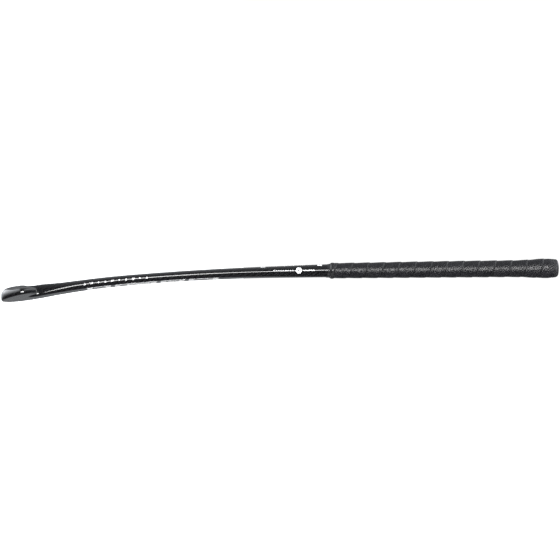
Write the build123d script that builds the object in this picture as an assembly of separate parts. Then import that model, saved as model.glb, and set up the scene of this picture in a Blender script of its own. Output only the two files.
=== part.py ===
"""Field hockey stick, adult size, built up in layers as a moulded composite stick is.

Millimetres. +Z runs up the handle, +X is the side that plays the ball, the toe points to -Y.
The sole of the head touches z = 0, the butt cap is the top end, and the origin is under the
middle of the stick's outline. The shape is drawn with the handle's middle plane at y = 0 and
moved there at the end.
"""

import os
from math import cos, radians, sin, sqrt, tan

from build123d import *

# ---------------------------------------------------------------- overall shape
LENGTH = 952.5             # 37.5 inches, sole to butt
LAMINATE_TOP_Z = 944.0     # the laminate tube is sawn off here, under the cap

HOOK_RADIUS = 38.0         # centre line of the hook
HOOK_HALF_WIDTH = 23.0
HOOK_CENTRE_Z = HOOK_RADIUS + HOOK_HALF_WIDTH
TOE_TURN = 158.0           # degrees the hook turns before the toe rounds off
TOE_ROUND = 16.0           # length over which the toe rounds off
HEEL_THICKNESS = 21.3
SOLE_THICKNESS = 22.2      # at the bottom of the hook
TOE_THICKNESS = 12.5       # where the toe starts to round off
SOLE_TURN = 90.0           # degrees round the hook to the sole
TOE_THINS_FROM = 98.0      # and to where the toe starts to thin
HEAD_CORNER_WIDTH = 5.0    # rounded corner at each side of the head's face
HEAD_CORNER_DEPTH = 5.5
HEAD_FULLNESS = 0.84       # the head's back is fuller than an ellipse
HEAD_BLEND = 60.0          # height over which the head's section turns into the shaft's

# the bow, from the top: straight handle, gentle bend, tight low bend, straight head
HANDLE_FACE_X = 12.0
BOW_TOP_Z = 455.0
UPPER_BOW_RADIUS = 2810.0
LOWER_BOW_RADIUS = 1380.0
UPPER_BOW_ANGLE = 5.4
HEAD_ANGLE = 10.6

# sizes of the laminate tube above the hook:
# height, half width, depth behind the face line, swell in front of the face line
SHAFT_SIZES = [
    (61.0, 23.0, 21.3, 0.0),
    (100.0, 23.1, 18.0, 0.0),
    (200.0, 23.4, 16.5, 0.0),
    (300.0, 23.0, 16.1, 0.0),
    (400.0, 21.2, 17.5, 0.0),
    (470.0, 19.0, 19.5, 0.0),
    (520.0, 17.5, 21.3, 0.0),
    (560.0, 16.4, 22.4, 0.0),
    (620.0, 15.4, 23.0, 0.0),
    (700.0, 14.8, 24.0, 0.0),
    (800.0, 14.5, 24.9, 0.0),
    (885.0, 14.6, 25.4, 0.1),
    (906.0, 15.3, 26.4, 1.0),
    (923.0, 16.0, 27.4, 1.8),
    (936.0, 16.2, 27.7, 1.9),
    (944.0, 15.6, 26.8, 1.2),
]
DEPTH = 2
HALF_WIDTH = 1
SWELL = 3
D_SHAPE_TOP_Z = 300.0      # the flat face begins to round over here
OVAL_BOTTOM_Z = 560.0      # and is a full oval from here up
CORNER_WIDTH = 4.5         # rounded corner at each side of the shaft's flat face
CORNER_DEPTH = 7.8
HANDLE_FLAT = 4.0          # half width of the slight flat left on the handle

# ---------------------------------------------------------------- layers inside
SKIN = 1.8                 # laminate wall
BOND = 0.05                # glue line between bonded parts
TUBE_WALL = 1.2
TUBE_BOTTOM_Z = 74.2
TUBE_TOP_Z = 902.0
FOAM_TOP_Z = 520.0
CORE_TOP_Z = 74.0
TOUCH_LAYER = 1.5          # elastomer sheet behind the playing face
TOUCH_SHORT_OF_TOE = 30.0  # degrees round the hook
PLUG_BOTTOM_Z = 903.0
PLUG_HOLE_RADIUS = 4.0
PLUG_HOLE_DEPTH = 27.0
SPIGOT_RADIUS = 3.9
SPIGOT_LENGTH = 24.0

# ---------------------------------------------------------------- grip and cap
LAY = 0.02                 # clearance under a layer that is only stuck on
BASE_TAPE = 0.4
GRIP_WRAP = 1.66
GRIP_BOTTOM_Z = 560.0
FINISHING_TAPE = 0.5
FINISHING_BOTTOM_Z = 552.0
FINISHING_TOP_Z = 566.0
FINISHING_RISE = 0.6       # length of the step up on to the grip
CAP_BOTTOM_Z = 944.05
CAP_FLANGE = 3.0
CAP_DOME_INSET = 0.45
CAP_ROUND = 4.0
CAP_ROUND_STEPS = (0, 15, 30, 45, 60, 75, 90)

# ---------------------------------------------------------------- decals
FILM = 0.12
BADGE_THICKNESS = 0.5
BADGE_ACROSS = 10.0
BADGE_Z = 505.0
FACE_DECAL_Z = (136.0, 368.0)
FACE_DECAL_HALF_WIDTH = 17.0
FACE_DECAL_REACH = 1.5
EDGE_DECAL_Z = (132.0, 250.0)
EDGE_DECAL_DEPTHS = (6.0, 12.0)
BACK_DECAL_Z = (438.0, 546.0)
BACK_DECAL_DEPTHS = (16.3, 30.0)

# ---------------------------------------------------------------- working values
QUARTER = 0.5523           # makes one cubic curve a quarter ellipse; more is fuller
FACE_STOCK = 0.3           # moulded on the head's face, then ground to a true flat
GRIND_TOP_Z = 65.0         # the flat ends here, in a step at 45 degrees
GRIND_REACH = 20.0
TOE_STEPS = [0.0, 16.0, 31.0, 45.0, 57.0, 68.0, 78.0, 86.0]
TOE_LIFT = 0.8             # share of the corner the toe tip lifts off the face plane
HOOK_STEPS = 12
SHAFT_LEVELS = [61, 80, 100, 125, 150, 180, 210, 240, 270, 300, 330, 360, 390, 420, 450, 480, 510, 540,
                570, 600, 640, 680, 720, 760, 800, 840, 870, 890, 906, 923, 936, 944, 950]
REACH = 150.0              # beyond the stick on any side
BAND_STEP = 25.0

UPPER_CENTRE_X = HANDLE_FACE_X + UPPER_BOW_RADIUS
LOWER_CENTRE_X = UPPER_CENTRE_X - (UPPER_BOW_RADIUS - LOWER_BOW_RADIUS) * cos(radians(UPPER_BOW_ANGLE))
LOWER_CENTRE_Z = BOW_TOP_Z - (UPPER_BOW_RADIUS - LOWER_BOW_RADIUS) * sin(radians(UPPER_BOW_ANGLE))
BEND_CHANGE_Z = BOW_TOP_Z - UPPER_BOW_RADIUS * sin(radians(UPPER_BOW_ANGLE))
HEAD_TOP_Z = LOWER_CENTRE_Z - LOWER_BOW_RADIUS * sin(radians(HEAD_ANGLE))
HEAD_TOP_X = LOWER_CENTRE_X - LOWER_BOW_RADIUS * cos(radians(HEAD_ANGLE))


def face_x(z):
    """X of the playing face line at height z."""
    if z >= BOW_TOP_Z:
        return HANDLE_FACE_X
    if z >= BEND_CHANGE_Z:
        return UPPER_CENTRE_X - sqrt(UPPER_BOW_RADIUS**2 - (BOW_TOP_Z - z) ** 2)
    if z >= HEAD_TOP_Z:
        return LOWER_CENTRE_X - sqrt(LOWER_BOW_RADIUS**2 - (LOWER_CENTRE_Z - z) ** 2)
    return HEAD_TOP_X + (HEAD_TOP_Z - z) * tan(radians(HEAD_ANGLE))


def slope_at(row, column):
    """Slope of one column of the shaft sizes at a row, from the rows either side."""
    low = max(row - 1, 0)
    high = min(row + 1, len(SHAFT_SIZES) - 1)
    rise = SHAFT_SIZES[high][column] - SHAFT_SIZES[low][column]
    return rise / (SHAFT_SIZES[high][0] - SHAFT_SIZES[low][0])


def size_at(z, column):
    """One of the shaft sizes at height z, blended smoothly between the listed heights."""
    row = 0
    while row < len(SHAFT_SIZES) - 2 and z > SHAFT_SIZES[row + 1][0]:
        row += 1
    span = SHAFT_SIZES[row + 1][0] - SHAFT_SIZES[row][0]
    u = min((z - SHAFT_SIZES[row][0]) / span, 1.0)
    blend = u * u * (3 - 2 * u)
    size = SHAFT_SIZES[row][column] * (1 - blend) + SHAFT_SIZES[row + 1][column] * blend
    size += slope_at(row, column) * span * u * (1 - u) ** 2
    size -= slope_at(row + 1, column) * span * u * u * (1 - u)
    return size


def ease(u):
    """Smooth step from 0 to 1."""
    u = min(max(u, 0.0), 1.0)
    return u * u * (3 - 2 * u)


def d_wire(place, half_width, flat, front, side, back, fullness=QUARTER):
    """Closed wire of a D: flat front, two rounded corners, domed back; place(across, depth) is a point."""
    corner_in = flat + fullness * (half_width - flat)
    corner_up = side + fullness * (front - side)
    dome_up = side + fullness * (back - side)
    dome_in = fullness * half_width
    corner = [(flat, front), (corner_in, front), (half_width, corner_up), (half_width, side)]
    dome = [(half_width, side), (half_width, dome_up), (dome_in, back), (0, back)]
    edges = [Edge.make_line(place(-flat, front), place(flat, front))]
    edges += [Edge.make_bezier(*[place(n, d) for n, d in curve]) for curve in (corner, dome)]
    edges += [Edge.make_bezier(*[place(-n, d) for n, d in reversed(curve)]) for curve in (dome, corner)]
    return Wire(edges)


def shaft_wire(z, inset, stock):
    """Section of the shaft or handle at height z, inset from the laminate's surface.

    Stock on the head's face fades out over the length of the blend.
    """
    half_width = size_at(z, HALF_WIDTH)
    depth = size_at(z, DEPTH)
    shaft = min((z - HOOK_CENTRE_Z) / HEAD_BLEND, 1.0)
    corner_width = (1 - shaft) * HEAD_CORNER_WIDTH + shaft * CORNER_WIDTH
    corner_depth = (1 - shaft) * HEAD_CORNER_DEPTH + shaft * CORNER_DEPTH
    fullness = (1 - shaft) * HEAD_FULLNESS + shaft * QUARTER
    oval = ease((z - D_SHAPE_TOP_Z) / (OVAL_BOTTOM_Z - D_SHAPE_TOP_Z))
    flat = (1 - oval) * (half_width - corner_width) + oval * HANDLE_FLAT
    side = (1 - oval) * corner_depth + oval * depth / 2
    left_on = stock * (1 - shaft) if stock > 0 else stock
    front = inset - left_on - size_at(z, SWELL)

    def place(across, behind):
        return (face_x(z) - behind, across, z)

    return d_wire(place, half_width - inset, flat, front, side, depth - inset, fullness)


def hook_wire(angle, beyond, inset, stock):
    """Section of the hook at an angle round it; beyond is how far, in degrees, into the toe's rounding."""
    turn = radians(angle)
    shrink = cos(radians(beyond))
    travel = (TOE_ROUND - inset) * sin(radians(beyond))
    thickness = HEEL_THICKNESS + (SOLE_THICKNESS - HEEL_THICKNESS) * ease(angle / SOLE_TURN)
    thinned = ease((angle - TOE_THINS_FROM) / (TOE_TURN - TOE_THINS_FROM))
    thickness -= (SOLE_THICKNESS - TOE_THICKNESS) * thinned
    front = inset - stock
    front += TOE_LIFT * (HEAD_CORNER_DEPTH - front) * (1 - sqrt(1 - sin(radians(beyond)) ** 6))
    back = HEAD_CORNER_DEPTH + (thickness - inset - HEAD_CORNER_DEPTH) * shrink**2

    def place(across, behind):
        radius = HOOK_RADIUS + across
        y = -HOOK_RADIUS + radius * cos(turn) - travel * sin(turn)
        z = HOOK_CENTRE_Z - radius * sin(turn) - travel * cos(turn)
        return (face_x(z) - behind, y, z)

    half_width = (HOOK_HALF_WIDTH - inset) * shrink
    flat = (HOOK_HALF_WIDTH - HEAD_CORNER_WIDTH) * shrink
    return d_wire(place, half_width, flat, front, HEAD_CORNER_DEPTH, back, HEAD_FULLNESS)


def layer(inset, bottom=-REACH, top=LENGTH, stock=0.0):
    """The whole stick's shape inset from the laminate's surface, kept between two heights.

    stock is left standing on the head's face; where it is negative, the whole face is set back.
    """
    wires = [hook_wire(TOE_TURN, step, inset, stock) for step in reversed(TOE_STEPS)]
    for i in range(1, HOOK_STEPS):
        wires.append(hook_wire(TOE_TURN * (1 - i / HOOK_STEPS), 0.0, inset, stock))
    for z in SHAFT_LEVELS:
        wires.append(shaft_wire(z, inset, stock))
    return Solid.make_loft(wires) & slab(-REACH, REACH, bottom, top)


def slab(y_low, y_high, z_low, z_high):
    """Block across the stick, endless in X."""
    block = Box(2 * REACH, y_high - y_low, z_high - z_low)
    return Pos(0, (y_low + y_high) / 2, (z_low + z_high) / 2) * block


def band(shallow, deep, z_low, z_high):
    """Block that follows the bow between two depths behind the face line, endless in Y."""
    bend_low = max(z_low, HEAD_TOP_Z)
    steps = max(int((z_high - bend_low) / BAND_STEP), 1)
    heights = [bend_low + (z_high - bend_low) * i / steps for i in range(steps + 1)]
    if z_low < bend_low:
        heights.insert(0, z_low)
    points = [(face_x(z) - shallow, -REACH, z) for z in heights]
    points += [(face_x(z) - deep, -REACH, z) for z in reversed(heights)]
    return Solid.extrude(Face(Wire.make_polygon(points, close=True)), Vector(0, 2 * REACH, 0))


def sleeve(inner, outer, bottom, top):
    """Tube round the handle between two clearances from the laminate's surface."""
    return layer(-outer, bottom, top) - layer(-inner, bottom - 1, top + 1)


# ---------------------------------------------------------------- laminate tube
ground_corners = [
    (face_x(-GRIND_REACH), -REACH, -GRIND_REACH),
    (face_x(GRIND_TOP_Z), -REACH, GRIND_TOP_Z),
    (face_x(GRIND_TOP_Z) + GRIND_REACH, -REACH, GRIND_TOP_Z + GRIND_REACH),
    (face_x(-GRIND_REACH) + GRIND_REACH, -REACH, -GRIND_REACH),
]
ground_off = Solid.extrude(Face(Wire.make_polygon(ground_corners, close=True)), Vector(0, 2 * REACH, 0))
outer_skin = layer(0.0, top=LAMINATE_TOP_Z, stock=FACE_STOCK) - ground_off
outer_skin -= layer(SKIN, top=LAMINATE_TOP_Z + SKIN)

# ---------------------------------------------------------------- inside the head
touch_half_width = HOOK_HALF_WIDTH - HEAD_CORNER_WIDTH
touch_arc = CenterArc((-HOOK_RADIUS, HOOK_CENTRE_Z), HOOK_RADIUS, 0, TOUCH_SHORT_OF_TOE - TOE_TURN)
touch_outline = Plane.YZ * SlotArc(touch_arc, 2 * touch_half_width)
touch_layer = extrude(touch_outline, amount=REACH) & slab(-REACH, REACH, -REACH, CORE_TOP_Z)
touch_layer &= band(SKIN + BOND, SKIN + BOND + TOUCH_LAYER, -REACH, CORE_TOP_Z + 1)
head_core = layer(SKIN + BOND, top=CORE_TOP_Z, stock=-TOUCH_LAYER - BOND)

# ---------------------------------------------------------------- twin tubes that make the centre web
tube_outside = SKIN + BOND
tube_inside = tube_outside + TUBE_WALL
tube_body = layer(tube_outside, TUBE_BOTTOM_Z, TUBE_TOP_Z)
tube_bore = layer(tube_inside, 0.0)
foam_body = layer(tube_inside + BOND, TUBE_BOTTOM_Z, FOAM_TOP_Z)


def one_side(body, gap, heel):
    """The part of a body on the toe side or the heel side, at least a gap from the middle."""
    return body & (slab(gap, REACH, 0, LENGTH) if heel else slab(-REACH, -gap, 0, LENGTH))


web_gap = BOND / 2
bore_gap = web_gap + TUBE_WALL
foam_gap = bore_gap + BOND
toe_side_tube = one_side(tube_body, web_gap, False) - one_side(tube_bore, bore_gap, False)
heel_side_tube = one_side(tube_body, web_gap, True) - one_side(tube_bore, bore_gap, True)
toe_side_foam = one_side(foam_body, foam_gap, False)
heel_side_foam = one_side(foam_body, foam_gap, True)

# ---------------------------------------------------------------- butt plug and cap
handle_centre_x = HANDLE_FACE_X - size_at(LAMINATE_TOP_Z, DEPTH) / 2
plug_hole = Pos(handle_centre_x, 0, LAMINATE_TOP_Z - PLUG_HOLE_DEPTH) * Cylinder(
    PLUG_HOLE_RADIUS, 2 * PLUG_HOLE_DEPTH, align=(Align.CENTER, Align.CENTER, Align.MIN)
)
butt_plug = layer(SKIN + BOND, PLUG_BOTTOM_Z, LAMINATE_TOP_Z) - plug_hole

grip_outside = LAY + BASE_TAPE + LAY + GRIP_WRAP


def cap_wire(z, clearance):
    """Outline of the cap at height z, the sawn end of the laminate grown by a clearance."""
    def place(across, behind):
        return (HANDLE_FACE_X - behind, across, z)

    end = LAMINATE_TOP_Z
    return d_wire(
        place,
        size_at(end, HALF_WIDTH) + clearance,
        HANDLE_FLAT,
        -size_at(end, SWELL) - clearance,
        size_at(end, DEPTH) / 2,
        size_at(end, DEPTH) + clearance,
    )


flange_top_z = CAP_BOTTOM_Z + CAP_FLANGE
dome_clearance = grip_outside - CAP_DOME_INSET
butt_cap = Solid.make_loft([cap_wire(CAP_BOTTOM_Z, grip_outside), cap_wire(flange_top_z, grip_outside)], True)
dome_wires = [cap_wire(flange_top_z, dome_clearance)]
for step in CAP_ROUND_STEPS:
    rise = CAP_ROUND * sin(radians(step))
    drop = CAP_ROUND * (1 - cos(radians(step)))
    dome_wires.append(cap_wire(LENGTH - CAP_ROUND + rise, dome_clearance - drop))
butt_cap += Solid.make_loft(dome_wires)
butt_cap += Pos(handle_centre_x, 0, CAP_BOTTOM_Z - SPIGOT_LENGTH) * Cylinder(
    SPIGOT_RADIUS, SPIGOT_LENGTH + 1, align=(Align.CENTER, Align.CENTER, Align.MIN)
)

# ---------------------------------------------------------------- grip
grip_base_tape = sleeve(LAY, LAY + BASE_TAPE, GRIP_BOTTOM_Z, LAMINATE_TOP_Z)
grip_wrap = sleeve(LAY + BASE_TAPE + LAY, grip_outside, GRIP_BOTTOM_Z, LAMINATE_TOP_Z)

step_z = GRIP_BOTTOM_Z - FINISHING_RISE
finishing_outside = grip_outside + LAY + FINISHING_TAPE
finishing_tape = sleeve(LAY, LAY + FINISHING_TAPE, FINISHING_BOTTOM_Z, step_z)
finishing_tape += sleeve(LAY, finishing_outside, step_z, GRIP_BOTTOM_Z - BOND)
finishing_tape += sleeve(grip_outside + LAY, finishing_outside, GRIP_BOTTOM_Z - BOND, FINISHING_TOP_Z)

# ---------------------------------------------------------------- decals and badge
face_decal = sleeve(LAY, LAY + FILM, *FACE_DECAL_Z)
face_decal &= band(-FACE_DECAL_REACH, FACE_DECAL_REACH, *FACE_DECAL_Z)
face_decal &= slab(-FACE_DECAL_HALF_WIDTH, FACE_DECAL_HALF_WIDTH, 0, LENGTH)

edge_decal = sleeve(LAY, LAY + FILM, *EDGE_DECAL_Z) & band(*EDGE_DECAL_DEPTHS, *EDGE_DECAL_Z)
edge_decal &= slab(-REACH, 0, 0, LENGTH)

back_decal = sleeve(LAY, LAY + FILM, *BACK_DECAL_Z) & band(*BACK_DECAL_DEPTHS, *BACK_DECAL_Z)

badge_x = face_x(BADGE_Z) - size_at(BADGE_Z, DEPTH) / 2
badge_outline = Plane(origin=(badge_x, -REACH, BADGE_Z), z_dir=(0, 1, 0)) * RegularPolygon(
    BADGE_ACROSS / 2, 6, major_radius=False
)
badge = sleeve(LAY, LAY + BADGE_THICKNESS, BADGE_Z - BADGE_ACROSS, BADGE_Z + BADGE_ACROSS)
badge &= extrude(badge_outline, amount=REACH)

# ---------------------------------------------------------------- files
NODES = {
    "outer_skin": outer_skin,
    "toe_side_tube": toe_side_tube,
    "heel_side_tube": heel_side_tube,
    "toe_side_foam": toe_side_foam,
    "heel_side_foam": heel_side_foam,
    "head_core": head_core,
    "touch_layer": touch_layer,
    "butt_plug": butt_plug,
    "butt_cap": butt_cap,
    "grip_base_tape": grip_base_tape,
    "grip_wrap": grip_wrap,
    "finishing_tape": finishing_tape,
    "face_decal": face_decal,
    "edge_decal": edge_decal,
    "back_decal": back_decal,
    "badge": badge,
}
outline = Compound([outer_skin, grip_wrap, butt_cap]).bounding_box()
to_origin = Pos(-outline.center().X, -outline.center().Y, 0)
os.makedirs("parts", exist_ok=True)
for name, shape in NODES.items():
    export_step(to_origin * shape, "parts/" + name + ".step")
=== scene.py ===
import math

import bpy
from mathutils import Matrix, Vector, noise


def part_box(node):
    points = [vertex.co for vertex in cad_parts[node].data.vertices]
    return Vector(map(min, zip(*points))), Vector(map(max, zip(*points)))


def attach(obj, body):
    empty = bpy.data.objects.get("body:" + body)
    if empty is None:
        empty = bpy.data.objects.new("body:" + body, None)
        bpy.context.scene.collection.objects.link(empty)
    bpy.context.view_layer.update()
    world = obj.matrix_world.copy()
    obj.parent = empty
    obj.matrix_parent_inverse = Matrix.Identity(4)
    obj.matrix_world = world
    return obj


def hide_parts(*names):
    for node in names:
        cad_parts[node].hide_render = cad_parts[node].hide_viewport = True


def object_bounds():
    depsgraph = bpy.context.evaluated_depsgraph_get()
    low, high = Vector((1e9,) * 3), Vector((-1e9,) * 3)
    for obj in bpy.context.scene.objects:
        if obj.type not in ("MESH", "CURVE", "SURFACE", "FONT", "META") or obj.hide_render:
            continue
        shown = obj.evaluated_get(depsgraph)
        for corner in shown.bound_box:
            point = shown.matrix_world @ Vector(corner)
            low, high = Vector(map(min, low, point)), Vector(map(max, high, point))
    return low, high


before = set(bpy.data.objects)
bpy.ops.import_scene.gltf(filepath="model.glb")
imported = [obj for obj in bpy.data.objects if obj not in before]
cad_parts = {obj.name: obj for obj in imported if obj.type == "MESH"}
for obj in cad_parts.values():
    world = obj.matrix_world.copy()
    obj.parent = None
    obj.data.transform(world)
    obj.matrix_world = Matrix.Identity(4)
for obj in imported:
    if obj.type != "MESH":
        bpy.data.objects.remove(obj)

cad_low, cad_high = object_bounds()

# ------------------------------------------------------------------ the stick's shape, in millimetres
HOOK_RADIUS = 38.0
HOOK_HALF_WIDTH = 23.0
HOOK_CENTRE_Z = 61.0
TOE_TURN = 158.0
TOE_ROUND = 16.0
TOE_LIFT = 0.8
HEEL_THICKNESS = 21.3
SOLE_THICKNESS = 22.2
TOE_THICKNESS = 12.5
SOLE_TURN = 90.0
TOE_THINS_FROM = 98.0
HEAD_CORNER_WIDTH = 5.0
HEAD_CORNER_DEPTH = 5.5
HEAD_FULLNESS = 0.84
HEAD_BLEND = 60.0
QUARTER = 0.5523
HANDLE_FACE_X = 12.0
BOW_TOP_Z = 455.0
UPPER_BOW_RADIUS = 2810.0
LOWER_BOW_RADIUS = 1380.0
UPPER_BOW_ANGLE = math.radians(5.4)
HEAD_ANGLE = math.radians(10.6)
# height, half width, depth behind the face line, swell in front of it
SHAFT_SIZES = [
    (61.0, 23.0, 21.3, 0.0),
    (100.0, 23.1, 18.0, 0.0),
    (200.0, 23.4, 16.5, 0.0),
    (300.0, 23.0, 16.1, 0.0),
    (400.0, 21.2, 17.5, 0.0),
    (470.0, 19.0, 19.5, 0.0),
    (520.0, 17.5, 21.3, 0.0),
    (560.0, 16.4, 22.4, 0.0),
    (620.0, 15.4, 23.0, 0.0),
    (700.0, 14.8, 24.0, 0.0),
    (800.0, 14.5, 24.9, 0.0),
    (885.0, 14.6, 25.4, 0.1),
    (906.0, 15.3, 26.4, 1.0),
    (923.0, 16.0, 27.4, 1.8),
    (936.0, 16.2, 27.7, 1.9),
    (944.0, 15.6, 26.8, 1.2),
]
HALF_WIDTH, DEPTH, SWELL = 1, 2, 3
D_SHAPE_TOP_Z = 300.0
OVAL_BOTTOM_Z = 560.0
CORNER_WIDTH = 4.5
CORNER_DEPTH = 7.8
HANDLE_FLAT = 4.0
LAMINATE_TOP_Z = 944.0
SKIN = 1.8

UPPER_CENTRE_X = HANDLE_FACE_X + UPPER_BOW_RADIUS
LOWER_CENTRE_X = UPPER_CENTRE_X - (UPPER_BOW_RADIUS - LOWER_BOW_RADIUS) * math.cos(UPPER_BOW_ANGLE)
LOWER_CENTRE_Z = BOW_TOP_Z - (UPPER_BOW_RADIUS - LOWER_BOW_RADIUS) * math.sin(UPPER_BOW_ANGLE)
BEND_CHANGE_Z = BOW_TOP_Z - UPPER_BOW_RADIUS * math.sin(UPPER_BOW_ANGLE)
HEAD_TOP_Z = LOWER_CENTRE_Z - LOWER_BOW_RADIUS * math.sin(HEAD_ANGLE)
HEAD_TOP_X = LOWER_CENTRE_X - LOWER_BOW_RADIUS * math.cos(HEAD_ANGLE)

# the handle's own axes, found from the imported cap
cap_low, cap_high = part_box("butt_cap")
CAP_MIDDLE_X = HANDLE_FACE_X + (1.2 - 26.8) / 2
SHIFT_X = (cap_low.x + cap_high.x) * 500 - CAP_MIDDLE_X
SHIFT_Y = (cap_low.y + cap_high.y) * 500
BUTT_Z = cap_high.z * 1000


def metres(x, y, z):
    return Vector(((x + SHIFT_X) / 1000, (y + SHIFT_Y) / 1000, z / 1000))


def heights_of(node):
    """Lowest and highest point of a CAD piece, in millimetres."""
    low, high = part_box(node)
    return low.z * 1000, high.z * 1000


def face_x(z):
    if z >= BOW_TOP_Z:
        return HANDLE_FACE_X
    if z >= BEND_CHANGE_Z:
        return UPPER_CENTRE_X - math.sqrt(UPPER_BOW_RADIUS**2 - (BOW_TOP_Z - z) ** 2)
    if z >= HEAD_TOP_Z:
        return LOWER_CENTRE_X - math.sqrt(LOWER_BOW_RADIUS**2 - (LOWER_CENTRE_Z - z) ** 2)
    return HEAD_TOP_X + (HEAD_TOP_Z - z) * math.tan(HEAD_ANGLE)


def slope_at(row, column):
    below = SHAFT_SIZES[max(row - 1, 0)]
    above = SHAFT_SIZES[min(row + 1, len(SHAFT_SIZES) - 1)]
    return (above[column] - below[column]) / (above[0] - below[0])


def size_at(z, column):
    row = 0
    while row < len(SHAFT_SIZES) - 2 and z > SHAFT_SIZES[row + 1][0]:
        row += 1
    span = SHAFT_SIZES[row + 1][0] - SHAFT_SIZES[row][0]
    u = min((z - SHAFT_SIZES[row][0]) / span, 1.0)
    blend = u * u * (3 - 2 * u)
    size = SHAFT_SIZES[row][column] * (1 - blend) + SHAFT_SIZES[row + 1][column] * blend
    size += slope_at(row, column) * span * u * (1 - u) ** 2
    size -= slope_at(row + 1, column) * span * u * u * (1 - u)
    return size


def ease(u):
    u = min(max(u, 0.0), 1.0)
    return u * u * (3 - 2 * u)


def shaft_form(z, inset=0.0):
    """half width, flat, front, side, back and fullness of the section at height z."""
    half_width = size_at(z, HALF_WIDTH)
    depth = size_at(z, DEPTH)
    shaft = min((z - HOOK_CENTRE_Z) / HEAD_BLEND, 1.0)
    corner_width = (1 - shaft) * HEAD_CORNER_WIDTH + shaft * CORNER_WIDTH
    corner_depth = (1 - shaft) * HEAD_CORNER_DEPTH + shaft * CORNER_DEPTH
    fullness = (1 - shaft) * HEAD_FULLNESS + shaft * QUARTER
    oval = ease((z - D_SHAPE_TOP_Z) / (OVAL_BOTTOM_Z - D_SHAPE_TOP_Z))
    flat = (1 - oval) * (half_width - corner_width) + oval * HANDLE_FLAT
    side = (1 - oval) * corner_depth + oval * depth / 2
    return half_width - inset, flat, inset - size_at(z, SWELL), side, depth - inset, fullness


def curve(ends, fullness, t):
    """Point on a cubic quarter curve from the first end, level, to the second, upright."""
    (n0, d0), (n1, d1) = ends
    handle_n = n0 + fullness * (n1 - n0)
    handle_d = d1 + fullness * (d0 - d1)
    share = ((1 - t) ** 3, 3 * (1 - t) ** 2 * t, 3 * (1 - t) * t * t, t**3)
    n = share[0] * n0 + share[1] * handle_n + (share[2] + share[3]) * n1
    d = (share[0] + share[1]) * d0 + share[2] * handle_d + share[3] * d1
    return n, d


def d_points(form, counts=(12, 12, 26)):
    """Points (across, depth) round a D: across the flat, up one corner, over the dome, down the other."""
    half_width, flat, front, side, back, fullness = form
    across, corner, dome = counts
    low, wide, top = (flat, front), (half_width, side), (0.0, back)
    half = [curve((low, wide), fullness, i / corner) for i in range(corner)]
    half += [curve((top, wide), fullness, 1 - i / dome) for i in range(dome)]
    points = [(-flat + 2 * flat * i / across, front) for i in range(across)]
    return points + half + [top] + [(-n, d) for n, d in reversed(half)][:-1]


def shaft_ring(z, inset=0.0, counts=(12, 12, 26)):
    return [(face_x(z) - d, n, z) for n, d in d_points(shaft_form(z, inset), counts)]


def hook_ring(angle, beyond, inset=0.0):
    turn = math.radians(angle)
    shrink = math.cos(math.radians(beyond))
    travel = (TOE_ROUND - inset) * math.sin(math.radians(beyond))
    thickness = HEEL_THICKNESS + (SOLE_THICKNESS - HEEL_THICKNESS) * ease(angle / SOLE_TURN)
    thinned = ease((angle - TOE_THINS_FROM) / (TOE_TURN - TOE_THINS_FROM))
    thickness -= (SOLE_THICKNESS - TOE_THICKNESS) * thinned
    lift = TOE_LIFT * (HEAD_CORNER_DEPTH - inset) * (1 - math.sqrt(1 - math.sin(math.radians(beyond)) ** 6))
    back = HEAD_CORNER_DEPTH + (thickness - inset - HEAD_CORNER_DEPTH) * shrink**2
    form = (
        (HOOK_HALF_WIDTH - inset) * shrink,
        (HOOK_HALF_WIDTH - HEAD_CORNER_WIDTH) * shrink,
        inset + lift,
        HEAD_CORNER_DEPTH,
        back,
        HEAD_FULLNESS,
    )
    ring = []
    for n, d in d_points(form):
        radius = HOOK_RADIUS + n
        y = -HOOK_RADIUS + radius * math.cos(turn) - travel * math.sin(turn)
        z = HOOK_CENTRE_Z - radius * math.sin(turn) - travel * math.cos(turn)
        ring.append((face_x(z) - d, y, z))
    return ring


# ------------------------------------------------------------------ mesh helpers
def new_object(name, verts, faces, uvs=None, smooth=True):
    mesh = bpy.data.meshes.new(name)
    mesh.from_pydata(verts, [], faces)
    if uvs:
        layer = mesh.uv_layers.new(name="UVMap")
        for loop in mesh.loops:
            layer.data[loop.index].uv = uvs[loop.vertex_index]
    mesh.polygons.foreach_set("use_smooth", [smooth] * len(mesh.polygons))
    mesh.update()
    obj = bpy.data.objects.new(name, mesh)
    bpy.context.scene.collection.objects.link(obj)
    return obj


def skin_over(name, rings, close_first=True, close_last=True, smooth=True, close_ring=False):
    """Closed tube through rings of equal length; a UV map runs round (u) and along (v) in metres."""
    count = len(rings[0])
    verts, uvs, faces = [], [], []
    run = 0.0
    for k, ring in enumerate(rings):
        points = [metres(*p) for p in ring]
        if k:
            run += (sum(points, Vector()) / count - middle).length
        middle = sum(points, Vector()) / count
        girth = 0.0
        for i, p in enumerate(points):
            if i:
                girth += (p - points[i - 1]).length
            uvs.append((girth, run))
        verts += points
    for k in range(len(rings) - 1):
        for i in range(count):
            j = (i + 1) % count
            a, b = k * count, (k + 1) * count
            faces.append((a + i, a + j, b + j, b + i))
    if close_ring:
        last = (len(rings) - 1) * count
        faces += [(last + i, last + (i + 1) % count, (i + 1) % count, i) for i in range(count)]
    if close_first:
        faces.append(tuple(range(count - 1, -1, -1)))
    if close_last:
        top = (len(rings) - 1) * count
        faces.append(tuple(range(top, top + count)))
    return new_object(name, verts, faces, uvs, smooth)


def finish_piece(obj, slot, material, *nodes):
    obj.data.materials.clear()
    obj.data.materials.append(material)
    if nodes:
        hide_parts(*nodes)
    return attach(obj, "root")


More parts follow.
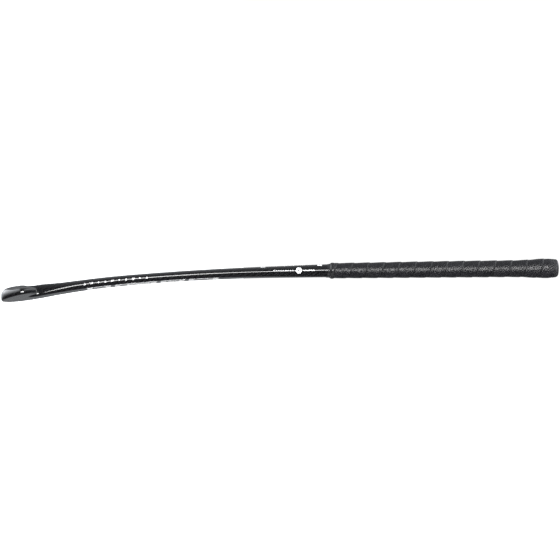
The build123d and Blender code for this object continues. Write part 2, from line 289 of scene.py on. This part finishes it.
# ------------------------------------------------------------------ material helpers
class Mat:
    """A node material with a Principled shader, and short calls to add nodes to it."""

    def __init__(self, name, color, roughness, **sockets):
        self.mat = bpy.data.materials.new(name)
        self.mat.use_nodes = True
        self.tree = self.mat.node_tree
        self.bsdf = self.tree.nodes["Principled BSDF"]
        self.set("Base Color", (*color, 1.0))
        self.set("Roughness", roughness)
        for key, value in sockets.items():
            self.set(key.replace("_", " "), value)

    def set(self, socket, value):
        self.bsdf.inputs[socket].default_value = value

    def node(self, kind, **settings):
        made = self.tree.nodes.new(kind)
        for key, value in settings.items():
            if key in made.inputs:
                made.inputs[key].default_value = value
            else:
                setattr(made, key, value)
        return made

    def link(self, out, to, socket=None):
        target = to.inputs[socket] if socket is not None else to
        self.tree.links.new(out, target)

    def coords(self, which="Object", scale=(1, 1, 1)):
        coord = self.node("ShaderNodeTexCoord")
        mapping = self.node("ShaderNodeMapping")
        mapping.inputs["Scale"].default_value = scale
        self.link(coord.outputs[which], mapping, "Vector")
        return mapping.outputs["Vector"]

    def noise(self, vector, scale, detail=3.0, rough=0.5):
        made = self.node("ShaderNodeTexNoise")
        made.inputs["Scale"].default_value = scale
        made.inputs["Detail"].default_value = detail
        made.inputs["Roughness"].default_value = rough
        self.link(vector, made, "Vector")
        return made.outputs["Fac"]

    def voronoi(self, vector, scale, feature="F1"):
        made = self.node("ShaderNodeTexVoronoi", feature=feature)
        made.inputs["Scale"].default_value = scale
        self.link(vector, made, "Vector")
        return made.outputs["Distance"]

    def math(self, operation, a, b=None):
        made = self.node("ShaderNodeMath", operation=operation)
        for i, value in enumerate((a, b)):
            if value is None:
                continue
            if isinstance(value, (int, float)):
                made.inputs[i].default_value = value
            else:
                self.link(value, made.inputs[i])
        return made.outputs[0]

    def spread(self, value, low, high, out_low, out_high):
        made = self.node("ShaderNodeMapRange")
        for key, v in zip(("From Min", "From Max", "To Min", "To Max"), (low, high, out_low, out_high)):
            made.inputs[key].default_value = v
        self.link(value, made, "Value")
        return made.outputs["Result"]

    def mix(self, factor, a, b):
        made = self.node("ShaderNodeMix", data_type="RGBA")
        self.link(factor, made.inputs["Factor"])
        for socket, value in ((made.inputs[6], a), (made.inputs[7], b)):
            if isinstance(value, tuple):
                socket.default_value = (*value, 1.0)
            else:
                self.link(value, socket)
        return made.outputs[2]

    def color(self, out):
        self.link(out, self.bsdf, "Base Color")

    def roughness(self, out):
        self.link(out, self.bsdf, "Roughness")

    def bump(self, height, distance, strength):
        made = self.node("ShaderNodeBump")
        made.inputs["Strength"].default_value = strength
        made.inputs["Distance"].default_value = distance
        self.link(height, made, "Height")
        self.link(made.outputs["Normal"], self.bsdf, "Normal")


def laminate_material():
    lacquer = {"Coat_Weight": 1.0, "Coat_Roughness": 0.04, "Coat_IOR": 1.5}
    m = Mat("lacquered_laminate", (0.005, 0.005, 0.006), 0.35, **lacquer)
    m.set("Specular IOR Level", 0.12)
    uv = m.coords("UV")
    split = m.node("ShaderNodeSeparateXYZ")
    m.link(uv, split, "Vector")
    tow_width = 0.0022
    across = m.math("FLOOR", m.math("DIVIDE", split.outputs["X"], tow_width))
    along = m.math("FLOOR", m.math("DIVIDE", split.outputs["Y"], tow_width))
    twill = m.math("LESS_THAN", m.math("FLOORED_MODULO", m.math("ADD", across, along), 4.0), 2.0)
    fibres = m.noise(m.coords("UV", (1500, 60, 1)), 1.0, 2.0)
    sheen = m.math("MULTIPLY", twill, m.spread(fibres, 0.3, 0.7, 0.4, 1.0))
    m.color(m.mix(sheen, (0.0035, 0.0035, 0.004), (0.0085, 0.0085, 0.0096)))
    scuffs = m.noise(m.coords("Object", (900, 900, 24)), 1.0, 4.0, 0.65)
    m.roughness(m.spread(scuffs, 0.45, 0.75, 0.27, 0.4))
    peel = m.noise(m.coords("Object"), 260.0, 2.0, 0.4)
    m.bump(peel, 0.00002, 0.35)
    return m.mat


def grip_material():
    m = Mat("grip_polyurethane", (0.02, 0.02, 0.023), 0.45)
    co = m.coords("Object")
    pebble = m.voronoi(co, 1050.0)
    creases = m.voronoi(co, 420.0, "DISTANCE_TO_EDGE")
    fine = m.noise(co, 2600.0, 2.0)
    streaks = m.noise(m.coords("Object", (520, 520, 120)), 1.0, 3.0, 0.6)
    height = m.math("ADD", m.math("MULTIPLY", pebble, 0.55), m.math("MULTIPLY", fine, 0.35))
    height = m.math("ADD", height, m.spread(creases, 0.0, 0.12, 0.0, 0.5))
    height = m.math("ADD", height, m.math("MULTIPLY", streaks, 1.6))
    m.bump(height, 0.00022, 0.8)
    # painted shade mask along the crevice under each free edge of the wound strip
    seam_shade = m.node("ShaderNodeAttribute", attribute_name="seam_shade").outputs["Fac"]
    cloudy = m.noise(co, 60.0, 4.0, 0.6)
    skin = m.mix(m.spread(cloudy, 0.3, 0.7, 0.0, 1.0), (0.005, 0.005, 0.006), (0.011, 0.0108, 0.0127))
    # painted shade: the base colour goes near black in the line under each free edge
    m.color(m.mix(seam_shade, skin, (0.002, 0.002, 0.002)))
    rough = m.spread(m.noise(co, 230.0, 4.0, 0.6), 0.3, 0.7, 0.21, 0.34)
    m.roughness(m.math("ADD", rough, m.math("MULTIPLY", seam_shade, 0.4)))
    return m.mat


def tape_material():
    m = Mat("gloss_vinyl_tape", (0.01, 0.01, 0.011), 0.28)
    co = m.coords("Object")
    clouds = m.spread(m.noise(co, 120.0, 3.0), 0.3, 0.7, 0.0, 1.0)
    m.color(m.mix(clouds, (0.008, 0.008, 0.009), (0.016, 0.016, 0.017)))
    m.roughness(m.spread(m.noise(co, 300.0, 3.0), 0.35, 0.7, 0.24, 0.4))
    m.bump(m.noise(co, 240.0, 3.0, 0.6), 0.0002, 0.4)
    return m.mat


def rubber_material():
    m = Mat("butt_cap_rubber", (0.014, 0.014, 0.015), 0.42)
    co = m.coords("Object")
    clouds = m.spread(m.noise(co, 90.0, 4.0), 0.3, 0.7, 0.0, 1.0)
    m.color(m.mix(clouds, (0.011, 0.011, 0.012), (0.022, 0.022, 0.024)))
    m.roughness(m.spread(m.noise(co, 700.0, 2.0), 0.3, 0.7, 0.36, 0.52))
    m.bump(m.noise(co, 1400.0, 2.0), 0.00005, 0.5)
    return m.mat


def decal_material():
    m = Mat("white_film", (0.86, 0.86, 0.87), 0.32, Coat_Weight=1.0, Coat_Roughness=0.05)
    co = m.coords("Object")
    dots = m.voronoi(co, 2600.0)
    m.color(m.mix(m.spread(dots, 0.05, 0.5, 0.0, 1.0), (0.84, 0.845, 0.86), (0.92, 0.92, 0.925)))
    m.roughness(m.spread(m.noise(co, 500.0, 3.0), 0.3, 0.7, 0.26, 0.38))
    m.bump(m.noise(co, 260.0, 2.0, 0.4), 0.00002, 0.35)
    return m.mat


def hidden_material(name, light, dark, roughness, scale, stretch=(1, 1, 1), depth=0.0002):
    m = Mat(name, light, roughness)
    co = m.coords("Object", stretch)
    pattern = m.noise(co, scale, 4.0, 0.6)
    m.color(m.mix(m.spread(pattern, 0.3, 0.7, 0.0, 1.0), dark, light))
    m.roughness(m.spread(pattern, 0.3, 0.7, roughness - 0.08, roughness + 0.1))
    m.bump(pattern, depth, 0.6)
    return m.mat


LAMINATE = laminate_material()
GRIP = grip_material()
TAPE = tape_material()
RUBBER = rubber_material()
DECAL = decal_material()
GREY = hidden_material("badge_grey", (0.2, 0.21, 0.22), (0.15, 0.16, 0.17), 0.4, 900.0, depth=0.00002)
INNER = hidden_material(
    "raw_laminate", (0.035, 0.035, 0.037), (0.015, 0.015, 0.016), 0.45, 700.0, (1, 1, 0.08)
)
FOAM = hidden_material("rigid_foam", (0.78, 0.7, 0.5), (0.62, 0.53, 0.34), 0.85, 1100.0, depth=0.0004)
ELASTOMER = hidden_material("elastomer_sheet", (0.13, 0.13, 0.14), (0.08, 0.08, 0.09), 0.7, 500.0)
WOOD = hidden_material("turned_softwood", (0.66, 0.47, 0.28), (0.45, 0.29, 0.15), 0.6, 260.0, (1, 1, 0.05))
BASE_TAPE = hidden_material("grip_underlay", (0.07, 0.07, 0.07), (0.03, 0.03, 0.03), 0.8, 1300.0)

# ------------------------------------------------------------------ laminate tube
TOE_STEPS = 22
HOOK_STEPS = 56
toe_steps = [89.0 * math.sin(math.pi / 2 * (1 - i / TOE_STEPS)) for i in range(TOE_STEPS)]
SHAFT_STEPS = 240
SHAFT_LENGTH = LAMINATE_TOP_Z - HOOK_CENTRE_Z
heights = [HOOK_CENTRE_Z + SHAFT_LENGTH * i / SHAFT_STEPS for i in range(SHAFT_STEPS + 1)]


def laminate_rings(inset):
    rings = [hook_ring(TOE_TURN, step, inset) for step in toe_steps]
    rings += [hook_ring(TOE_TURN * (1 - i / HOOK_STEPS), 0.0, inset) for i in range(HOOK_STEPS)]
    return rings + [shaft_ring(z, inset) for z in heights]


skin = skin_over("laminate_tube", laminate_rings(0.0) + laminate_rings(SKIN)[::-1])
finish_piece(skin, "laminate", LAMINATE, "outer_skin")

for node, material in (
    ("toe_side_tube", INNER),
    ("heel_side_tube", INNER),
    ("toe_side_foam", FOAM),
    ("heel_side_foam", FOAM),
    ("head_core", FOAM),
    ("touch_layer", ELASTOMER),
    ("butt_plug", WOOD),
):
    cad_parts[node].data.materials.clear()
    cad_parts[node].data.materials.append(material)

# ------------------------------------------------------------------ tape under the grip
BASE_INSIDE, BASE_OUTSIDE = 0.02, 0.40
BASE_STEPS = 60
base_low, base_high = heights_of("grip_base_tape")
base_heights = [base_low + (base_high - base_low) * k / BASE_STEPS for k in range(BASE_STEPS + 1)]
base_rings = [shaft_ring(z, -BASE_OUTSIDE) for z in base_heights]
base_rings += [shaft_ring(z, -BASE_INSIDE) for z in reversed(base_heights)]
base_tape = skin_over("base_tape", base_rings, False, False, close_ring=True)
finish_piece(base_tape, "gloss_tape", BASE_TAPE, "grip_base_tape")

# ------------------------------------------------------------------ wound grip
GRIP_BOTTOM_Z, GRIP_TOP_Z = heights_of("grip_wrap")
GRIP_INSIDE = 0.44
GRIP_OUTSIDE = 2.1
TURNS = 14                 # of the strip, from the bottom of the grip to its top
TURN_PITCH = (GRIP_TOP_Z - GRIP_BOTTOM_Z) / TURNS
FIRST_EDGE = 7.3           # the strip's first free edge up the toe side, over the grip's bottom
HAND_WANDER = 1.1          # a hand-wound strip strays this far from an even pitch
EDGE_RISE = 0.95
EDGE_WIDTH = 1.5
GRIP_COUNTS = (10, 22, 22)


def lap(z, around):
    """Millimetres up from the last free edge of the wound strip at a point of the grip."""
    wander = HAND_WANDER * noise.noise(Vector((0.5, 0.5, z / 40)))
    turns = (z - GRIP_BOTTOM_Z - FIRST_EDGE + wander) / TURN_PITCH - (around - 0.25)
    return (turns % 1.0) * TURN_PITCH


def strip_height(up):
    """Height of the wound strip over its lowest line, with a soft ramp and a rounded free edge."""
    edge = TURN_PITCH - EDGE_WIDTH
    if up > edge:
        return math.sqrt(max(1 - ((up - edge) / EDGE_WIDTH) ** 2, 0.0)) * 0.93
    toe = 1 - math.exp(-up / 1.4)
    ramp = ease(up / edge)
    return 0.28 * toe + 0.65 * ramp + 0.1 * math.sin(math.pi * up / edge)


def seam_shade_depth(up):
    """Painted shade mask: 1 in the line under a free edge, fading over a millimetre or two."""
    return max(1 - up / 1.3, 1 - (TURN_PITCH - up) / 0.7, 0.0)


def around_share(n, d, form):
    """Share of a turn from the face, by way of the toe side, for a point on a ring."""
    middle = form[3]
    return (math.atan2(-n, middle - d) / (2 * math.pi)) % 1.0


def grip_ring(z):
    form = shaft_form(z, -GRIP_OUTSIDE + EDGE_RISE)
    crumple = ease((z - 900) / 30)
    ring, seam_shades = [], []
    for n, d in d_points(form, GRIP_COUNTS):
        up = lap(z, around_share(n, d, form))
        wobble = (0.05 + 0.16 * crumple) * noise.noise(Vector((n / 7, d / 7, z / 11)))
        grain = (0.035 + 0.05 * crumple) * noise.noise(Vector((n / 1.3, d / 1.3, z / 1.6)))
        rise = min(EDGE_RISE * strip_height(up) + wobble + grain, EDGE_RISE)
        centre = form[3]
        length = math.hypot(n, d - centre)
        ring.append((face_x(z) - (d + (d - centre) / length * rise), n + n / length * rise, z))
        seam_shades.append(seam_shade_depth(up))
    return ring, seam_shades


GRIP_STEP = 0.6
steps = int((GRIP_TOP_Z - GRIP_BOTTOM_Z) / GRIP_STEP)
grip_heights = [GRIP_BOTTOM_Z + (GRIP_TOP_Z - GRIP_BOTTOM_Z) * i / steps for i in range(steps + 1)]
wound = [grip_ring(z) for z in grip_heights]
rings = [ring for ring, seam_shades in wound]
rings += [shaft_ring(z, -GRIP_INSIDE, GRIP_COUNTS) for z in grip_heights[::-24] + [GRIP_BOTTOM_Z]]
grip = skin_over("grip_wrap_wound", rings, False, False, close_ring=True)
# painted shade values per vertex under the free edges, zero on the inner rings
seam_shade_values = [depth for ring, seam_shades in wound for depth in seam_shades]
seam_shade_values += [0.0] * (len(grip.data.vertices) - len(seam_shade_values))
grip.data.attributes.new("seam_shade", "FLOAT", "POINT").data.foreach_set("value", seam_shade_values)
finish_piece(grip, "grip", GRIP, "grip_wrap")

# ------------------------------------------------------------------ finishing tape at the grip's lower end
TAPE_BOTTOM_Z, TAPE_TOP_Z = heights_of("finishing_tape")
TAPE_SLANT = 1.6


def tape_ring(z, clearance, slant):
    form = shaft_form(z, -clearance)
    ring = []
    for n, d in d_points(form, GRIP_COUNTS):
        around = around_share(n, d, form)
        ring.append((face_x(z) - d, n, z + slant * math.sin(2 * math.pi * (around - 0.1))))
    return ring


tape_profile = [
    (TAPE_BOTTOM_Z + TAPE_SLANT, 0.02, 1.0), (TAPE_BOTTOM_Z + TAPE_SLANT, 0.30, 1.0),
    (TAPE_BOTTOM_Z + TAPE_SLANT + 0.3, 0.42, 1.0), (TAPE_BOTTOM_Z + 4.0, 0.48, 0.8),
    (TAPE_BOTTOM_Z + 5.6, 0.62, 0.5), (TAPE_BOTTOM_Z + 6.8, 1.05, 0.35), (TAPE_BOTTOM_Z + 7.8, 1.75, 0.2),
    (TAPE_BOTTOM_Z + 8.6, 2.25, 0.15), (TAPE_BOTTOM_Z + 9.4, 2.5, 0.1), (TAPE_BOTTOM_Z + 10.4, 2.6, 0.1),
    (TAPE_BOTTOM_Z + 11.6, 2.55, 0.2), (TAPE_BOTTOM_Z + 12.6, 2.42, 0.2), (TAPE_TOP_Z - 0.6, 2.3, 0.3),
    (TAPE_TOP_Z - 0.35, 2.2, 0.3), (TAPE_TOP_Z - 0.35, 1.5, 0.3), (TAPE_BOTTOM_Z + 8.6, 1.6, 0.2),
    (TAPE_BOTTOM_Z + 7.6, 0.9, 0.2), (TAPE_BOTTOM_Z + 6.0, 0.02, 0.3),
]
rings = [tape_ring(z, c, TAPE_SLANT * s) for z, c, s in tape_profile]
tape = skin_over("finishing_tape_band", rings, False, False, close_ring=True)
finish_piece(tape, "gloss_tape", TAPE, "finishing_tape")

# ------------------------------------------------------------------ butt cap
CAP_OUTSIDE = 2.1


def cap_ring(z, clearance):
    form = (
        size_at(LAMINATE_TOP_Z, HALF_WIDTH) + clearance,
        HANDLE_FLAT,
        -size_at(LAMINATE_TOP_Z, SWELL) - clearance,
        size_at(LAMINATE_TOP_Z, DEPTH) / 2,
        size_at(LAMINATE_TOP_Z, DEPTH) + clearance,
        QUARTER,
    )
    return [(HANDLE_FACE_X - d, n, z) for n, d in d_points(form, GRIP_COUNTS)]


SPIGOT_LENGTH = 24.0
CAP_Z = cap_low.z * 1000 + SPIGOT_LENGTH
# height over the underside of the flange, and clearance outside the handle's outline
cap_rim = [
    (0.0, -4.0), (0.0, 1.7), (0.1, 1.95), (0.35, 2.08), (0.7, CAP_OUTSIDE), (1.4, CAP_OUTSIDE), (1.65, 2.04),
    (1.8, 1.85), (1.9, 1.5), (2.1, 1.22), (2.4, 1.15), (2.65, 1.24), (2.8, 1.45), (3.0, 1.6),
]
cap_profile = [(CAP_Z + above, clearance) for above, clearance in cap_rim]
CAP_ROUND = 4.0
CAP_CROWN = 1.62
CAP_STEPS = 14
for i in range(CAP_STEPS + 1):
    a = math.pi / 2 * i / CAP_STEPS
    cap_profile.append((BUTT_Z - CAP_ROUND * (1 - math.sin(a)), CAP_CROWN - CAP_ROUND * (1 - math.cos(a))))
cap_profile += [(BUTT_Z, -5.5), (BUTT_Z, -9.0)]
cap = skin_over("butt_cap_moulded", [cap_ring(z, c) for z, c in cap_profile])
finish_piece(cap, "cap", RUBBER, "butt_cap")

# ------------------------------------------------------------------ printed films
FILM_LOW, FILM_HIGH = 0.02, 0.13


def on_face(z, n, lift):
    return (face_x(z) + lift, n, z)


def on_toe_side(z, depth, lift):
    half_width, flat, front, side, back, fullness = shaft_form(z, -lift)
    if depth < side:
        share = min((side - depth) / (side - front), 1.0)
        return (face_x(z) - depth, -flat - (half_width - flat) * math.sqrt(1 - share * share), z)
    share = min((depth - side) / (back - side), 1.0)
    return (face_x(z) - depth, -half_width * math.sqrt(1 - share * share), z)


def on_back(z, n, lift):
    half_width, flat, front, side, back, fullness = shaft_form(z, -lift)
    share = min(abs(n) / half_width, 1.0)
    return (face_x(z) - side - (back - side) * math.sqrt(1 - share * share), n, z)


def sheet_faces(start, nu, nv):
    """Faces of one closed thin sheet: an upper grid, a lower grid and the edges between them."""
    layer = (nu + 1) * (nv + 1)

    def at(i, j, low=0):
        return start + low * layer + i * (nv + 1) + j

    faces = []
    for i in range(nu):
        for j in range(nv):
            faces.append((at(i, j), at(i + 1, j), at(i + 1, j + 1), at(i, j + 1)))
            faces.append((at(i, j, 1), at(i, j + 1, 1), at(i + 1, j + 1, 1), at(i + 1, j, 1)))
    for i in range(nu):
        faces.append((at(i, 0), at(i, 0, 1), at(i + 1, 0, 1), at(i + 1, 0)))
        faces.append((at(i, nv), at(i + 1, nv), at(i + 1, nv, 1), at(i, nv, 1)))
    for j in range(nv):
        faces.append((at(0, j), at(0, j + 1), at(0, j + 1, 1), at(0, j, 1)))
        faces.append((at(nu, j), at(nu, j, 1), at(nu, j + 1, 1), at(nu, j + 1)))
    return faces


def film(name, shapes, surface, step=2.0):
    """Thin closed films on a surface; each shape is four (height, across) corners in order."""
    verts, faces = [], []
    for (z0, a0), (z1, a1), (z2, a2), (z3, a3) in shapes:
        nu = max(int(max(abs(z1 - z0), abs(z2 - z3)) / step), 1)
        nv = max(int(max(abs(a3 - a0), abs(a2 - a1)) / step), 1)
        start = len(verts)
        for lift in (FILM_HIGH, FILM_LOW):
            for i in range(nu + 1):
                for j in range(nv + 1):
                    u, v = i / nu, j / nv
                    z = (1 - v) * ((1 - u) * z0 + u * z1) + v * ((1 - u) * z3 + u * z2)
                    a = (1 - v) * ((1 - u) * a0 + u * a1) + v * ((1 - u) * a3 + u * a2)
                    verts.append(metres(*surface(z, a, lift)))
        faces += sheet_faces(start, nu, nv)
    return new_object(name, verts, faces, smooth=False)


SLANT = 0.15
EDGE = 17.0


def slanted(z_low, z_high, n_low, n_high):
    """Parallelogram whose ends lean towards the butt on the toe side."""
    corners = ((z_low, n_low), (z_high, n_low), (z_high, n_high), (z_low, n_high))
    return [(z - SLANT * n, n) for z, n in corners]


def box_frame(z_low, z_high, bar, rail):
    """Hollow slanted box: two end bars and two rails."""
    shapes = [slanted(z_low, z_low + bar, -EDGE, EDGE), slanted(z_high - bar, z_high, -EDGE, EDGE)]
    shapes.append(slanted(z_low + bar, z_high - bar, -EDGE, -EDGE + rail))
    shapes.append(slanted(z_low + bar, z_high - bar, EDGE - rail, EDGE))
    return shapes


def spread(low, high, weights, gap):
    """Bottom and top heights for a row of figures that shares out a length by weight."""
    unit = (high - low - gap * (len(weights) - 1)) / sum(weights)
    spans = []
    for weight in weights:
        spans.append((low, low + unit * weight))
        low += unit * weight + gap
    return spans


FIGURE_WEIGHTS = (4, 7, 4, 5)
FIGURE_GAP = 7.0
FIGURE_BAR = 9.0
FIGURE_RAIL = 6.0
CROSSBAR_LOW, CROSSBAR_HIGH = 21.0, 25.0
lean = SLANT * EDGE
face_low, face_high = heights_of("face_decal")
face_spans = spread(face_low + lean, face_high - lean, FIGURE_WEIGHTS, FIGURE_GAP)
face_shapes = []
for span_low, span_high in face_spans:
    face_shapes += box_frame(span_low, span_high, FIGURE_BAR, FIGURE_RAIL)
long_low, long_high = face_spans[1]
face_shapes.append(slanted(long_low + CROSSBAR_LOW, long_low + CROSSBAR_HIGH, -11, 11))
face_shapes.append(slanted(long_low + CROSSBAR_HIGH, long_high - 12.0, -4, 4))
third_low, third_high = face_spans[2]
face_shapes.append(slanted(third_low + 13.0, third_high - 13.0, -2.0, 2.0))
face_film = film("face_graphic", face_shapes, on_face)
finish_piece(face_film, "decal", DECAL, "face_decal")

MARK_COUNT = 10
MARK_LOW, MARK_HIGH = 5.6, 8.8
MARK_HALF = 1.7
mark_bottom, mark_top = heights_of("edge_decal")
MARK_PITCH = (mark_top - mark_bottom) / MARK_COUNT


def edge_mark(kind, z):
    """Wedge, pair of dashes or diamond at height z."""
    low, high = z - MARK_HALF, z + MARK_HALF
    mid = (MARK_LOW + MARK_HIGH) / 2
    if kind == 0:
        return [[(low, MARK_LOW), (high, MARK_LOW), (z + 0.3, MARK_HIGH), (z - 0.3, MARK_HIGH)]]
    if kind == 1:
        first = [(low - 0.3, MARK_LOW), (low + 0.8, MARK_LOW), (z, MARK_HIGH), (z - 1.1, MARK_HIGH)]
        second = [(z + 0.2, MARK_LOW), (z + 1.3, MARK_LOW), (high + 0.5, MARK_HIGH), (high - 0.6, MARK_HIGH)]
        return [first, second]
    return [[(low, mid), (z, MARK_LOW), (high, mid), (z, MARK_HIGH)]]


edge_shapes = []
for k in range(MARK_COUNT):
    edge_shapes += edge_mark(k % 3, mark_bottom + (k + 0.5) * MARK_PITCH)
edge_film = film("edge_graphic", edge_shapes, on_toe_side, 1.0)
finish_piece(edge_film, "decal", DECAL, "edge_decal")

back_low, back_high = heights_of("back_decal")
BACK_BLOCK, BACK_MARGIN = 8.0, 1.0
back_shapes = []
for z, tall, half in (
    (back_low + BACK_MARGIN, BACK_BLOCK, 13.0),
    (back_high - BACK_MARGIN - BACK_BLOCK, BACK_BLOCK, 12.0),
    (back_low + 2 * BACK_BLOCK, back_high - back_low - 4 * BACK_BLOCK, 1.2),
):
    back_shapes.append([(z, -half), (z + tall, -half), (z + tall, half), (z, half)])
back_film = film("back_graphic", back_shapes, on_back, 1.5)
finish_piece(back_film, "decal", DECAL, "back_decal")

badge_low, badge_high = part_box("badge")
BADGE_Z = (badge_low.z + badge_high.z) * 500


def dash_row(heights, tall, inner, outer):
    """One dash on the toe side at each height, between two depths behind the face line."""
    return [[(z, inner), (z + tall, inner), (z + tall, outer), (z, outer)] for z in heights]


dashes_below = [BADGE_Z - 8.0 - 4.0 * (k + 1) for k in range(9)]
dashes_above = [BADGE_Z + 8.0 + 5.0 * k for k in range(4)]
side_shapes = dash_row(dashes_below, 2.8, 9.9, 10.7) + dash_row(dashes_above, 3.6, 9.6, 11.0)
side_film = film("side_dashes", side_shapes, on_toe_side, 1.0)
finish_piece(side_film, "decal", DECAL)

# ------------------------------------------------------------------ badge
BADGE_HALF = 5.0
BADGE_DEPTH = face_x(BADGE_Z) + SHIFT_X - (badge_low.x + badge_high.x) * 500


def hex_badge(name, half, low, high, rows=7):
    """Domed hexagon that follows the shaft's side."""
    verts, faces = [], []
    count = 36
    profile = [(1.0, low)]
    for t in (0.3, 0.7, 1.0):
        profile.append((1 - 0.02 - 0.13 * t * t, low + (high - low) * math.sin(t * math.pi / 2)))
    profile += [(0.85 * (1 - k / rows), high) for k in range(1, rows)]
    for share, lift in profile:
        for i in range(count):
            a = 2 * math.pi * i / count
            sector = (a + math.pi / 6) % (math.pi / 3) - math.pi / 6
            r = half * share / math.cos(sector)
            z = BADGE_Z + r * math.sin(a)
            depth = BADGE_DEPTH + r * math.cos(a)
            verts.append(metres(*on_toe_side(z, depth, lift)))
    for k in range(len(profile) - 1):
        for i in range(count):
            j = (i + 1) % count
            faces.append((k * count + i, k * count + j, (k + 1) * count + j, (k + 1) * count + i))
    verts.append(metres(*on_toe_side(BADGE_Z, BADGE_DEPTH, high)))
    tip = (len(profile) - 1) * count
    faces += [(tip + i, tip + (i + 1) % count, len(verts) - 1) for i in range(count)]
    faces.append(tuple(range(count - 1, -1, -1)))
    return new_object(name, verts, faces)


badge = hex_badge("side_badge", BADGE_HALF, 0.02, 0.5)
finish_piece(badge, "badge", DECAL, "badge")
mark = hex_badge("side_badge_mark", 1.9, 0.45, 0.53, 3)
finish_piece(mark, "badge", GREY)

# ------------------------------------------------------------------ floor, camera, light
def plane_at(name, size, location):
    half = size / 2
    verts = [(-half, -half, 0), (half, -half, 0), (half, half, 0), (-half, half, 0)]
    obj = new_object(name, verts, [(0, 1, 2, 3)], smooth=False)
    obj.location = location
    return obj


floor = plane_at("studio_floor", 30.0, (0, 0, -0.0005))
pale = Mat("pale_floor", (0.9, 0.9, 0.9), 0.9)
pale.color(pale.mix(pale.noise(pale.coords("Object"), 3.0), (0.89, 0.89, 0.89), (0.91, 0.91, 0.91)))
pale.set("Emission Color", (1, 1, 1, 1))
pale.set("Emission Strength", 0.82)
floor.data.materials.append(pale.mat)
floor.visible_glossy = False

CAMERA_TILT = math.radians(5.2)
CAMERA_ROLL = math.radians(-0.39)
CAMERA_DISTANCE = 2284.0
LOOK_AT = (15.6, 0.0, 471.5)
away = Vector((-math.sin(CAMERA_TILT), math.cos(CAMERA_TILT), 0))
level_right = Vector((0, 0, 1))
level_up = Vector((-math.cos(CAMERA_TILT), -math.sin(CAMERA_TILT), 0))
right = level_right * math.cos(CAMERA_ROLL) + level_up * math.sin(CAMERA_ROLL)
up = level_up * math.cos(CAMERA_ROLL) - level_right * math.sin(CAMERA_ROLL)
camera_data = bpy.data.cameras.new("camera")
camera_data.lens = 85.0
camera_data.sensor_width = 36.0
camera = bpy.data.objects.new("camera", camera_data)
bpy.context.scene.collection.objects.link(camera)
spot = metres(*LOOK_AT) - away * CAMERA_DISTANCE / 1000
turn = Matrix((right, up, -away)).transposed().to_4x4()
camera.matrix_world = Matrix.Translation(spot) @ turn
bpy.context.scene.camera = camera


def area_light(name, location, target, size, power):
    data = bpy.data.lights.new(name, "AREA")
    data.shape = "RECTANGLE"
    data.size, data.size_y = size
    data.energy = power
    obj = bpy.data.objects.new(name, data)
    bpy.context.scene.collection.objects.link(obj)
    direction = Vector(target) - Vector(location)
    back = -direction.normalized()
    side = Vector((0, 0, 1)) - back * back.z
    side.normalize()
    # the light's long side, its X, stands along the stick
    turn = Matrix((side, back.cross(side), back)).transposed().to_4x4()
    obj.matrix_world = Matrix.Translation(location) @ turn
    return obj


def unseen_in_gloss(obj):
    obj.visible_glossy = False


MID_Z = (cad_low.z + cad_high.z) / 2
area_light("strip_front", (0.05, -2.6, MID_Z + 0.15), (0, 0, MID_Z + 0.1), (1.9, 0.34), 62.0)
unseen_in_gloss(area_light("fill_front", (-0.5, -2.6, MID_Z), (0, 0, MID_Z), (2.4, 1.6), 5.0))
unseen_in_gloss(area_light("fill_face", (2.2, -0.4, MID_Z), (0, 0, MID_Z), (2.4, 1.6), 105.0))
unseen_in_gloss(area_light("fill_back", (-2.2, -0.2, MID_Z), (0, 0, MID_Z), (2.4, 1.6), 14.0))

world = bpy.data.worlds.new("studio")
bpy.context.scene.world = world
world.use_nodes = True
tree = world.node_tree
tree.nodes.clear()


def world_node(kind, **settings):
    made = tree.nodes.new(kind)
    for key, value in settings.items():
        setattr(made, key, value)
    return made


def world_math(operation, a, b):
    made = world_node("ShaderNodeMath", operation=operation)
    for socket, value in zip(made.inputs, (a, b)):
        if isinstance(value, (int, float)):
            socket.default_value = value
        else:
            tree.links.new(value, socket)
    return made.outputs[0]


def world_ramp(value, low, high, strength):
    made = world_node("ShaderNodeMapRange", interpolation_type="SMOOTHSTEP")
    for key, v in zip(("From Min", "From Max", "To Min", "To Max"), (low, high, 0.0, strength)):
        made.inputs[key].default_value = v
    tree.links.new(value, made.inputs["Value"])
    return made.outputs["Result"]


way = world_node("ShaderNodeSeparateXYZ")
tree.links.new(world_node("ShaderNodeTexCoord").outputs["Generated"], way.inputs["Vector"])
to_back = world_math("MULTIPLY", way.outputs["X"], -1.0)
to_ends = world_math("ABSOLUTE", way.outputs["Z"], 0.0)
glow = world_ramp(to_back, 0.3, 0.8, 0.3)
ends = world_math("MULTIPLY", world_ramp(to_ends, 0.32, 0.6, 1.0), world_ramp(to_back, 0.0, 0.35, 2.6))
behind = world_ramp(way.outputs["Y"], 0.6, 0.98, 0.2)
level = world_math("ADD", world_math("ADD", glow, ends), world_math("ADD", behind, 0.03))
around = world_node("ShaderNodeBackground")
around.inputs["Color"].default_value = (0.93, 0.96, 1.0, 1)
tree.links.new(level, around.inputs["Strength"])
seen = world_node("ShaderNodeBackground")
seen.inputs["Color"].default_value = (1, 1, 1, 1)
seen.inputs["Strength"].default_value = 1.05
mixer = world_node("ShaderNodeMixShader")
tree.links.new(world_node("ShaderNodeLightPath").outputs["Is Camera Ray"], mixer.inputs["Fac"])
tree.links.new(around.outputs["Background"], mixer.inputs[1])
tree.links.new(seen.outputs["Background"], mixer.inputs[2])
output = world_node("ShaderNodeOutputWorld")
tree.links.new(mixer.outputs["Shader"], output.inputs["Surface"])

bpy.context.scene.view_settings.view_transform = "Standard"
